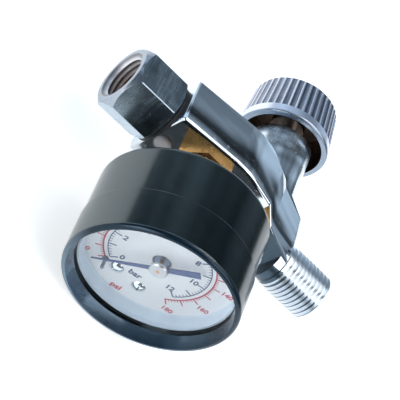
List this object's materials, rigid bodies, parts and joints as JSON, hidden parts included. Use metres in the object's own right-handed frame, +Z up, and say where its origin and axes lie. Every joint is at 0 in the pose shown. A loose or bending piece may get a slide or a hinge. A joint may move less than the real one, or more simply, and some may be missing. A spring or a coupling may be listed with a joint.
{
  "type": "air pressure regulator",
  "caption": "In-line air pressure regulator: lozenge body with a swivel hex outlet nut, a male inlet thread, a fluted adjusting knob and a round dial gauge on a stem.",
  "frame": {"origin": "centre of the outer end of the male inlet thread", "axes": "+X runs along the inlet axis out of the thread, the gauge faces -Y and the adjusting knob points to +Y, +Z is up"},
  "size_m": [0.0754, 0.0802, 0.0446],
  "materials": {
    "chrome_body": "polished chrome plate on a die casting",
    "nut_plate": "satin nickel plate with fine turning marks",
    "knob_plate": "satin chrome plate",
    "brass": "machined brass",
    "spring_steel": "bright spring steel",
    "steel": "bright zinc plated steel",
    "black_rubber": "moulded nitrile",
    "pale_rubber": "pale moulded rubber",
    "aluminium": "turned",
    "black_case": "gloss black paint on pressed steel",
    "window": "clear flat window",
    "white_ring": "white moulded ring",
    "dial_white": "white enamel on aluminium",
    "pointer_blue": "blued steel",
    "hub_plate": "bright nickel",
    "bronze": "phosphor bronze"
  },
  "bodies": {
    "regulator": {"valve_body": "chrome_body", "outlet_stem": "brass", "spacer_washer": "black_rubber", "valve_seat": "brass", "poppet_spring": "spring_steel", "main_spring": "spring_steel", "gland": "brass", "gauge_case": "black_case", "gauge_bezel": "black_case", "gauge_window": "window", "window_gasket": "black_rubber", "window_ring": "white_ring", "vent_plug": "pale_rubber", "gauge_socket": "brass", "dial": "dial_white", "dial_screws": "steel", "dial_posts": "brass", "stop_pin": "steel", "arbor_bushing": "steel", "movement_front_plate": "brass", "movement_back_plate": "brass", "movement_pillars": "brass", "bourdon_tube": "bronze", "hairspring": "bronze"},
    "swivel_nut": {"swivel_nut": "nut_plate"},
    "spring_seat": {"spring_seat": "steel"},
    "knob": {"knob": "knob_plate", "knob_screw": "steel", "adjusting_screw": "steel", "screw_clip": "spring_steel"},
    "piston": {"piston": "aluminium", "piston_ring": "black_rubber"},
    "poppet": {"poppet": "brass", "poppet_seal": "black_rubber"},
    "pointer": {"pointer": "pointer_blue", "pointer_hub": "hub_plate", "pinion_arbor": "bronze"},
    "sector": {"sector_gear": "brass", "sector_arbor": "steel"},
    "link": {"movement_link": "steel", "link_pins": "steel"}
  },
  "joints": [
    {"name": "nut_swivel", "type": "hinge", "parent": "regulator", "child": "swivel_nut", "pos_m": [-0.0615, 0.0106, 0], "axis": [-1, 0, 0], "continuous": true},
    {"name": "spring_seat_travel", "type": "slide", "parent": "regulator", "child": "spring_seat", "axis": [0, -1, 0], "range_m": [0, 0.0035], "deforming": ["main_spring"]},
    {"name": "knob_turn", "type": "hinge", "parent": "spring_seat", "child": "knob", "pos_m": [-0.0257, 0.0276, 0], "axis": [0, -1, 0], "range_deg": [0, 1260]},
    {"name": "piston_travel", "type": "slide", "parent": "regulator", "child": "piston", "axis": [0, -1, 0], "range_m": [0, 0.0008], "stiffness_N_per_m": 500, "springref_m": -0.0005},
    {"name": "poppet_travel", "type": "slide", "parent": "regulator", "child": "poppet", "axis": [0, -1, 0], "range_m": [0, 0.000801], "deforming": ["poppet_spring"]},
    {"name": "sector_swing", "type": "hinge", "parent": "regulator", "child": "sector", "pos_m": [-0.03934, -0.02, -0.00737], "axis": [0, -1, 0], "range_deg": [-0.72, 37.6], "stiffness_Nm_per_rad": 0.01, "deforming": ["bourdon_tube"]},
    {"name": "pointer_turn", "type": "hinge", "parent": "regulator", "child": "pointer", "pos_m": [-0.0445, -0.0276, 0], "axis": [0, 1, 0], "range_deg": [-5.1, 263.3], "deforming": ["hairspring"]},
    {"name": "link_turn", "type": "hinge", "parent": "sector", "child": "link", "pos_m": [-0.03595, -0.0192, -0.0086], "axis": [0, 1, 0], "range_deg": [-0.8, 37.7]}
  ],
  "couplings": [
    {"joint": "spring_seat_travel", "follows": "knob_turn", "m_per_rad": 0.00015915},
    {"joint": "poppet_travel", "follows": "piston_travel", "ratio": 1},
    {"joint": "pointer_turn", "follows": "sector_swing", "ratio": 7},
    {"joint": "link_turn", "follows": "sector_swing", "ratio": 1}
  ]
}
